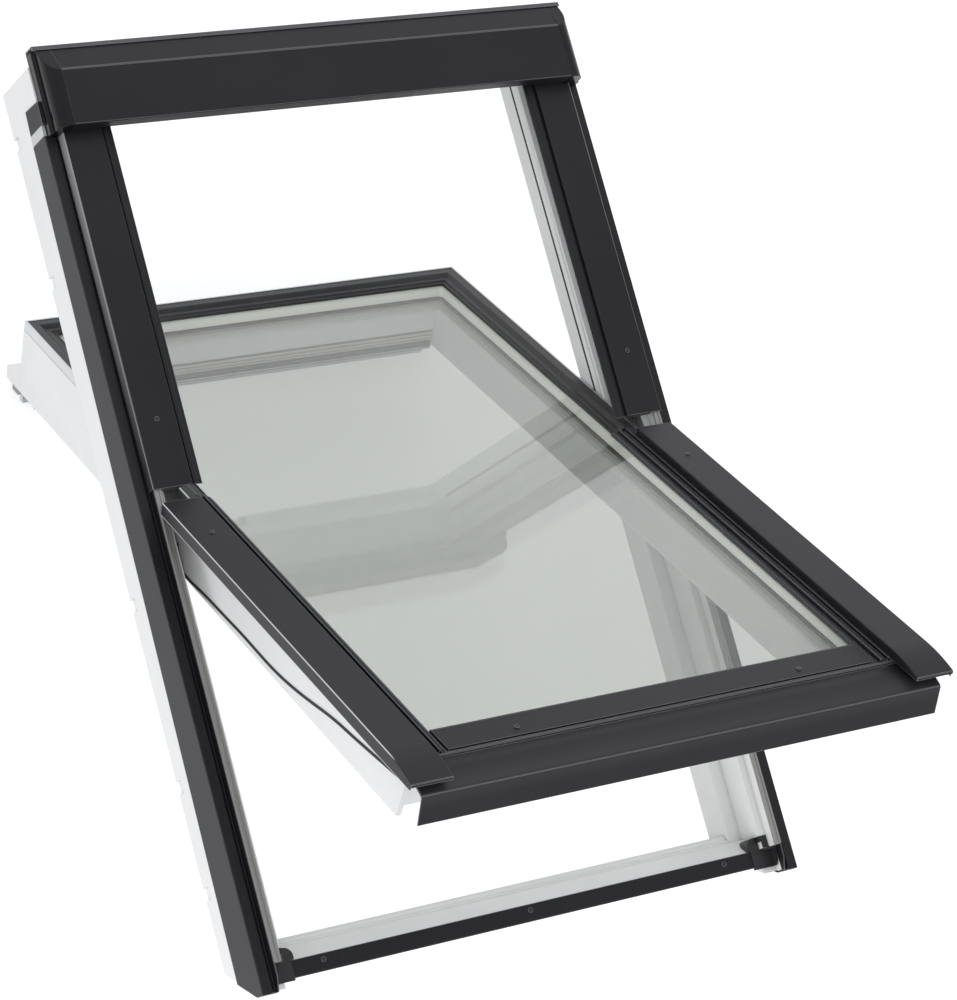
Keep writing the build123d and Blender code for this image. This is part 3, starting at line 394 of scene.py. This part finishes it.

# Head hood: one folded aluminium sheet over the frame head, with a bead along
# its upper fold and a hem at the foot of its face. It hangs on two plates.
# Painted highlights: pale lines along the hood's folds
hood_fold_highlights = [
    (0.5700, 0.1338, 0.0010),
    (0.4970, 0.1330, 0.0008),
    (0.4975, 0.1095, 0.0008),
]
hood_highlight_grey = (0.12, 0.12, 0.13)
hood_coat = dark_cover("dark_hood", 0)
painted_fold_highlights(hood_coat, 0, "X", hood_fold_highlights, hood_highlight_grey)
dress(hood_coat, "head_hood")

# Upper side covers: hat-shaped folded sheet over the frame's upper half. The
# narrow outer wall carries a painted highlight, a paler grey towards the head.
wall_x = 0.36975
wall_ends = (0.06, 0.50)
# Painted highlight on the upper covers' outer wall: dark at the pivot, pale at the head
wall_highlight_greys = ((0.045, 0.043, 0.052), (0.34, 0.345, 0.36))
# Painted highlight: a pale line along the upper covers' outer fold
upper_fold_highlights = [(0.3708, 0.1065, 0.0009)]
upper_highlight_grey = (0.36, 0.36, 0.38)


def painted_wall_highlight(mat):
    """Lays a paler grey over the coat wherever X is past the outer wall, on
    either side, as a painted highlight; along Y it goes from the first grey to
    the second."""
    tree = mat.node_tree
    where = node_of(tree, "ShaderNodeTexCoord")
    place = node_of(tree, "ShaderNodeSeparateXYZ")
    join(tree, where.outputs["Object"], place.inputs[0])
    either = node_of(tree, "ShaderNodeMath", operation="ABSOLUTE")
    join(tree, place.outputs["X"], either.inputs[0])
    past = node_of(tree, "ShaderNodeMath", operation="GREATER_THAN")
    past.inputs[1].default_value = wall_x
    join(tree, either.outputs[0], past.inputs[0])
    along = share_of(tree, place.outputs["Y"], *wall_ends)
    painted_highlight = two_tones(tree, along, (0, wall_highlight_greys[0]), (1, wall_highlight_greys[1]))
    # Painted highlight on the outer wall, paler towards the head
    lay_over(mat, past.outputs[0], painted_highlight)


upper_cover = dark_cover("dark_upper_cover", 0)
painted_wall_highlight(upper_cover)
painted_fold_highlights(upper_cover, 0, "Y", upper_fold_highlights, upper_highlight_grey)
dress(upper_cover, "upper_side_cover_left", "upper_side_cover_right")

# Hood end caps: moulded glossy black plastic, pushed on the hood's two ends
# and held there by their own fit.
cap_black = (0.0035, 0.0035, 0.0045)
# A faint painted highlight on the caps' sharp edges
cap_edge_highlight = (0.02, 0.02, 0.023)
cap_plastic = dark_cover("black_cap_plastic", 0, cap_black, 0.12, cap_edge_highlight)
dress(cap_plastic, "hood_end_cap_left", "hood_end_cap_right")

# Rear strip: a folded apron of thin sheet behind the hood, mid grey on top.
# It lies on the frame head under the hood's upper fold.
rear_grey = (0.085, 0.085, 0.092)
dress(dark_cover("rear_strip_coat", 0, rear_grey), "hood_rear_strip")

# Light grey strips and carriers under the covers: plain extruded aluminium
# that shows where the covers leave it bare. The covers clip on to them.
strip_grey = (0.34, 0.335, 0.325)
strip_metal_share = 0.6


def drawn_metal(name, turn, run, grey, rough, metal=1.0):
    """Extruded metal: long fine lines in colour, sheen and bump."""
    mat, tree, skin = new_finish(name)
    lines = noise_on(tree, drawn_out(tree, laid_flat(tree, turn), run, 900), 1.0, 3.0)
    dull = tuple(c * 0.86 for c in grey)
    bright = tuple(min(1, c * 1.06) for c in grey)
    join(tree, two_tones(tree, lines, (0.3, dull), (0.7, bright)), skin.inputs["Base Color"])
    join(tree, spread(tree, lines, rough - 0.07, rough + 0.1), skin.inputs["Roughness"])
    join(tree, bump_of(tree, lines, 0.15, 0.0002), skin.inputs["Normal"])
    skin.inputs["Metallic"].default_value = metal
    return mat


strip_metal = drawn_metal("light_strip_metal", 0, "Y", strip_grey, 0.45, strip_metal_share)
dress(strip_metal, "frame_strip_left", "frame_strip_right")
dress(strip_metal, "upper_cover_rail_left", "upper_cover_rail_right")
strip_metal_sash = drawn_metal(
    "light_strip_metal_on_sash", sash_turn, "Y", strip_grey, 0.45, strip_metal_share
)
dress(strip_metal_sash, "lower_cover_rail_left", "lower_cover_rail_right")

# Plates that hold the hood: folded steel with a dark coat, bare and light at
# the lower end, where they run on under the upper covers
bracket_grey = (0.010, 0.010, 0.012)
bare_steel = (0.60, 0.60, 0.61, 1)
bare_below_y = 0.5125
bracket_coat = dark_cover("bracket_coat", 0, bracket_grey, 0.4)
tree = bracket_coat.node_tree
place = node_of(tree, "ShaderNodeSeparateXYZ")
join(tree, node_of(tree, "ShaderNodeTexCoord").outputs["Object"], place.inputs[0])
bare = node_of(tree, "ShaderNodeMath", operation="LESS_THAN")
bare.inputs[1].default_value = bare_below_y
join(tree, place.outputs["Y"], bare.inputs[0])
lay_over(bracket_coat, bare.outputs[0], bare_steel)
dress(bracket_coat, "hood_bracket_left", "hood_bracket_right")

# Gaskets and black plastic trim: matt black rubber pressed into grooves in
# the members, and moulded or extruded black plastic, a little grey with dust
rubber_black = (0.012, 0.012, 0.0125)
corner_black = (0.014, 0.014, 0.015)
glazing_black = (0.019, 0.019, 0.0205)
seal_brown = (0.040, 0.028, 0.022)


def black_rubber(name, black, rough, turn=0.0):
    """Matt black: a fine grain as bump and faint grey dust in patches."""
    mat, tree, skin = new_finish(name)
    flat = laid_flat(tree, turn)
    patch = noise_on(tree, flat, 26.0, 5.0, 0.6)
    dusty = tuple(c + 0.014 for c in black)
    join(tree, two_tones(tree, patch, (0.4, black), (0.8, dusty)), skin.inputs["Base Color"])
    grain = noise_on(tree, flat, 1400.0, 2.0)
    join(tree, bump_of(tree, grain, 0.25, 0.0002), skin.inputs["Normal"])
    join(tree, spread(tree, patch, rough, rough + 0.15), skin.inputs["Roughness"])
    return mat


rubber = black_rubber("black_rubber", rubber_black, 0.55)
rubber_sash = black_rubber("black_rubber_on_sash", rubber_black, 0.55, sash_turn)
trim_black = black_rubber("black_plastic_trim", corner_black, 0.38)
trim_sash = black_rubber("black_plastic_trim_on_sash", glazing_black, 0.36, sash_turn)
dress(trim_black, "sill_corner_left", "sill_corner_right")
dress(rubber_sash, "sash_seal_left", "sash_seal_right")
dress(rubber_sash, "sash_corner_gasket_left", "sash_corner_gasket_right")
dress(rubber_sash, "bottom_gasket")
dress(trim_sash, "side_glazing_strip_left", "side_glazing_strip_right", "top_glazing_strip")
glass_putty = black_rubber("brown_grey_glass_seal", seal_brown, 0.6, sash_turn)
putty_skin = glass_putty.node_tree.nodes["Principled BSDF"]
putty_skin.inputs["Specular IOR Level"].default_value = 0.1
dress(glass_putty, "glass_seal")

# Wiper gaskets above the pivot: a soft white lip on each member's shoulder,
# and below it a thin black gasket pressed into the member's inner face
gasket_face = 0.3302
gasket_out = 0.0008
gasket_middle = 0.0282
gasket_half = 0.0019
gasket_ends = (0.060, 0.536)
gasket_stations = 25
dress(white_up, "frame_seal_left", "frame_seal_right")


def carried_profile(name, profile, stations, run, turned_over):
    """A closed profile carried straight along the run: the profile's points
    stand again at each station, four-sided faces join one station's points to
    the next one's, and a cap closes each end. Turning it over points the
    faces the other way."""
    points = np.repeat(profile[None], len(stations), axis=0)
    points[:, :, "XYZ".index(run)] = stations[:, None]
    count = len(profile)
    a = np.arange(len(stations) - 1)[:, None] * count
    i = np.arange(count)[None, :]
    j = (i + 1) % count
    walls = np.stack([a + i, a + j, a + count + j, a + count + i], axis=-1).reshape(-1, 4)
    first = np.arange(count)
    last = first + (len(stations) - 1) * count
    if turned_over:
        faces = list(walls[:, ::-1]) + [first, last[::-1]]
    else:
        faces = list(walls) + [first[::-1], last]
    return sheet_mesh(name, points.reshape(-1, 3), faces)


def gasket_strip(name, side):
    """A half-round strip along Y. Its outline is an angle from 0 to pi about
    the middle height: height is half times the cosine, standing proud is the
    sine to the power 0.6, and the back runs straight inside the member."""
    angle = np.linspace(0, np.pi, 9)
    high = gasket_middle + gasket_half * np.cos(angle)
    out = gasket_face - gasket_out * np.sin(angle) ** 0.6
    profile = np.column_stack([side * out, np.zeros(len(out)), high])
    stations = np.linspace(*gasket_ends, gasket_stations)
    return carried_profile(name, profile, stations, "Y", side > 0)


for name, side in (("frame_gasket_left", -1), ("frame_gasket_right", 1)):
    strip = gasket_strip(name, side)
    strip.data.materials.append(rubber)
    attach(strip, "frame")

# Sash members: the same white plastic profiles as the frame's, welded at the
# corners, and turned with the sash so that their draw lines follow them.
white_sash_up = white_profile("white_plastic_sash_members", sash_turn, "Y")
white_sash_over = white_profile("white_plastic_sash_rails", sash_turn, "X")
dress(white_sash_up, "sash_side_left", "sash_side_right")
dress(white_sash_over, "sash_top_rail", "sash_bottom_rail")

# Covers on the sash: folded aluminium with the same dark coat as the frame's,
# clipped over the lower half and screwed down. Paler lines are painted along
# their folds as highlights.
sash_grey = (0.0125, 0.0120, 0.0150)
# Painted highlights: pale lines along the sash covers' folds
sash_fold_highlights = [(0.3710, 0.1080, 0.0012), (0.3710, 0.0912, 0.0007)]
sash_highlight_grey = (0.66, 0.66, 0.70)
bottom_grey = (0.0090, 0.0085, 0.0110)
# Painted highlights on the bottom cover: pale fold lines, and a soft pale band on its curved
# slope
bottom_fold_highlights = [
    (-0.5985, 0.0818, 0.0013),
    (-0.5485, 0.0944, 0.0010),
    (-0.5020, 0.0935, 0.0008),
    (-0.5930, 0.0850, 0.0230, 0.0, 0.22),
]
bottom_highlight_grey = (0.11, 0.11, 0.12)
sash_cover = dark_cover("dark_cover_on_sash", sash_turn, sash_grey)
painted_fold_highlights(sash_cover, sash_turn, "Y", sash_fold_highlights, sash_highlight_grey)
dress(sash_cover, "lower_side_cover_left", "lower_side_cover_right")
dress(sash_cover, "lower_inner_strip_left", "lower_inner_strip_right")
sash_cover_over = dark_cover("dark_cover_across_sash", sash_turn, bottom_grey)
painted_fold_highlights(sash_cover_over, sash_turn, "X", bottom_fold_highlights, bottom_highlight_grey)
dress(sash_cover_over, "bottom_cover")

# Edge strip and control bar: extruded aluminium left bare. The strip runs
# round the sash's upper half; the bar turns on the top rail to open the sash.
edge_grey = (0.62, 0.63, 0.64)
bar_grey = (0.60, 0.61, 0.62)
bare_metal = drawn_metal("bare_aluminium", sash_turn, "Y", edge_grey, 0.32)
bar_metal = drawn_metal("bar_aluminium", sash_turn, "X", bar_grey, 0.36)
dress(bare_metal, "edge_strip")
dress(bar_metal, "control_bar")

# Ribbed strip on the top rail: a grey extruded grille along the face that
# looks at the glass opening, above the control bar. Its ribs run across, and
# the shade in the rows of slots between them is painted as dark bands.
rib_ends = 0.280
rib_face = 0.4890
rib_back = 0.0003
rib_out = 0.0013
rib_low, rib_high = -0.006, 0.0225
rib_count = 4
rib_stations = 9
rib_grey = (0.62, 0.61, 0.60)
# Painted shade: rows of dark bands for the shade in the grille's slots
slot_shade_rows = [
    (0, 0.16), (0.06, 1), (0.13, 0.13), (0.46, 0.9), (0.54, 0.25),
    (0.60, 1), (0.72, 0.3), (0.78, 1), (0.92, 0.35),
]


def ribbed_strip(name):
    """A ribbed sheet. Across it the height runs evenly, and it stands off the
    rail by a base plus the square of a sine, one hump for each rib; the back
    lies inside the rail. The whole is turned about the pivot by the opening."""
    share = np.linspace(0, 1, rib_count * 10 + 1)
    high = rib_low + (rib_high - rib_low) * share
    off = rib_out * (0.3 + 0.7 * np.sin(np.pi * rib_count * share) ** 2)
    back = [rib_face + rib_back, rib_face + rib_back]
    ring_y = np.concatenate([rib_face - off, back])
    ring_z = np.concatenate([high, [rib_high, rib_low]])
    turn = np.radians(-sash_turn)
    y = pivot_y + (ring_y - pivot_y) * np.cos(turn) - (ring_z - pivot_z) * np.sin(turn)
    z = pivot_z + (ring_y - pivot_y) * np.sin(turn) + (ring_z - pivot_z) * np.cos(turn)
    profile = np.column_stack([np.zeros(len(y)), y, z])
    stations = np.linspace(-rib_ends, rib_ends, rib_stations)
    return carried_profile(name, profile, stations, "X", True)


def painted_slot_shade(mat, rows):
    """Darkens the coat in rows by height: painted shade for the slots between
    the ribs. Each row is the share of the strip's height where it starts, and
    its brightness, a little warmer where dark."""
    tree = mat.node_tree
    place = node_of(tree, "ShaderNodeSeparateXYZ")
    join(tree, laid_flat(tree, sash_turn), place.inputs[0])
    slot_shade = node_of(tree, "ShaderNodeValToRGB")
    slot_shade.color_ramp.interpolation = "CONSTANT"
    for start, bright in rows:
        stop = slot_shade.color_ramp.elements.new(start)
        stop.color = (bright, bright * 0.98, bright * 0.95, 1)
    slot_shade.color_ramp.elements.remove(slot_shade.color_ramp.elements[0])
    slot_shade.color_ramp.elements.remove(slot_shade.color_ramp.elements[-1])
    height = share_of(tree, place.outputs["Z"], rib_low, rib_high)
    join(tree, height, slot_shade.inputs["Fac"])
    # Painted shade multiplied into the strip's grey
    lay_over(mat, 1.0, slot_shade.outputs["Color"], "MULTIPLY")


ribs = ribbed_strip("top_rail_ribs")
rib_coat = drawn_metal("ribbed_strip_grey", sash_turn, "X", rib_grey, 0.45, 0.0)
painted_slot_shade(rib_coat, slot_shade_rows)
ribs.data.materials.append(rib_coat)
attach(ribs, "sash")

# Control bar bearings: moulded grey plastic, one screwed to the top rail at
# each end of the bar
bearing_grey = (0.30, 0.305, 0.31)
bearing = black_rubber("grey_bearing_plastic", bearing_grey, 0.4, sash_turn)
dress(bearing, "control_bar_ends")

# Pivot hinges, latch and keeper: zinc plated steel, screwed to the members.
# Guide and keeper sit in the frame, rail and bolt in the sash, and the slide
# runs between guide and rail.
zinc_grey = (0.50, 0.50, 0.49)
zinc = drawn_metal("zinc_steel", 0, "X", zinc_grey, 0.3)
zinc_sash = drawn_metal("zinc_steel_on_sash", sash_turn, "X", zinc_grey, 0.3)
dress(zinc, "hinge_guide_left", "hinge_guide_right", "latch_keeper")
dress(zinc_sash, "hinge_rail_left", "hinge_rail_right")
dress(zinc_sash, "hinge_slide_left", "hinge_slide_right", "latch_bolt")

# Screw caps: small round heads in the covers' own dark coat, a shade paler.
# There are two in each pair of side covers, three along the sill and two in
# the bottom cover.
screw_grey = (0.026, 0.026, 0.029)
cap_coat = dark_cover("cap_coat", 0, screw_grey, 0.3)
cap_coat_sash = dark_cover("cap_coat_on_sash", sash_turn, screw_grey, 0.3)
dress(cap_coat, "frame_screws")
dress(cap_coat_sash, "sash_screws")

# Glass: two panes of float glass, each 4 mm, clear with a faint green body,
# held 16 mm apart by the spacer and sealed round the edge
pane_tint = (0.690, 0.702, 0.685, 1)
shade_tint = (0.95, 0.957, 0.95, 1)


def clear_pane(name):
    """Float glass: sharp clear glass to the eye, and a plain faintly tinted
    passage for the light that falls through it, so its shadow stays pale."""
    mat, tree, skin = new_finish(name)
    skin.inputs["Base Color"].default_value = pane_tint
    skin.inputs["Roughness"].default_value = 0.0
    skin.inputs["IOR"].default_value = 1.5
    skin.inputs["Specular Tint"].default_value = (0.5, 0.5, 0.5, 1)
    skin.inputs["Transmission Weight"].default_value = 1.0
    through = node_of(tree, "ShaderNodeBsdfTransparent", Color=shade_tint)
    falling = any_ray(tree, "Is Shadow Ray", "Is Diffuse Ray")
    passed = either_shader(tree, falling, skin.outputs[0], through.outputs[0])
    join(tree, passed, tree.nodes["Material Output"].inputs["Surface"])
    return mat


dress(clear_pane("float_glass"), "outer_pane", "inner_pane")

# Spacer: a warm-edge bar of beige plastic and foil between the panes, with
# two rows of fine holes for the drying beads inside it
spacer_beige = (0.93, 0.92, 0.85)
hole_beige = (0.66, 0.65, 0.57)
hole_scale = 420.0
beige_foil, tree, skin = new_finish("spacer_beige")
speck = node_of(tree, "ShaderNodeTexVoronoi", Scale=hole_scale)
join(tree, laid_flat(tree, sash_turn), speck.inputs["Vector"])
tone = two_tones(tree, speck.outputs["Distance"], (0.12, hole_beige), (0.32, spacer_beige))
join(tree, tone, skin.inputs["Base Color"])
skin.inputs["Roughness"].default_value = 0.5
dress(beige_foil, "spacer_bar")
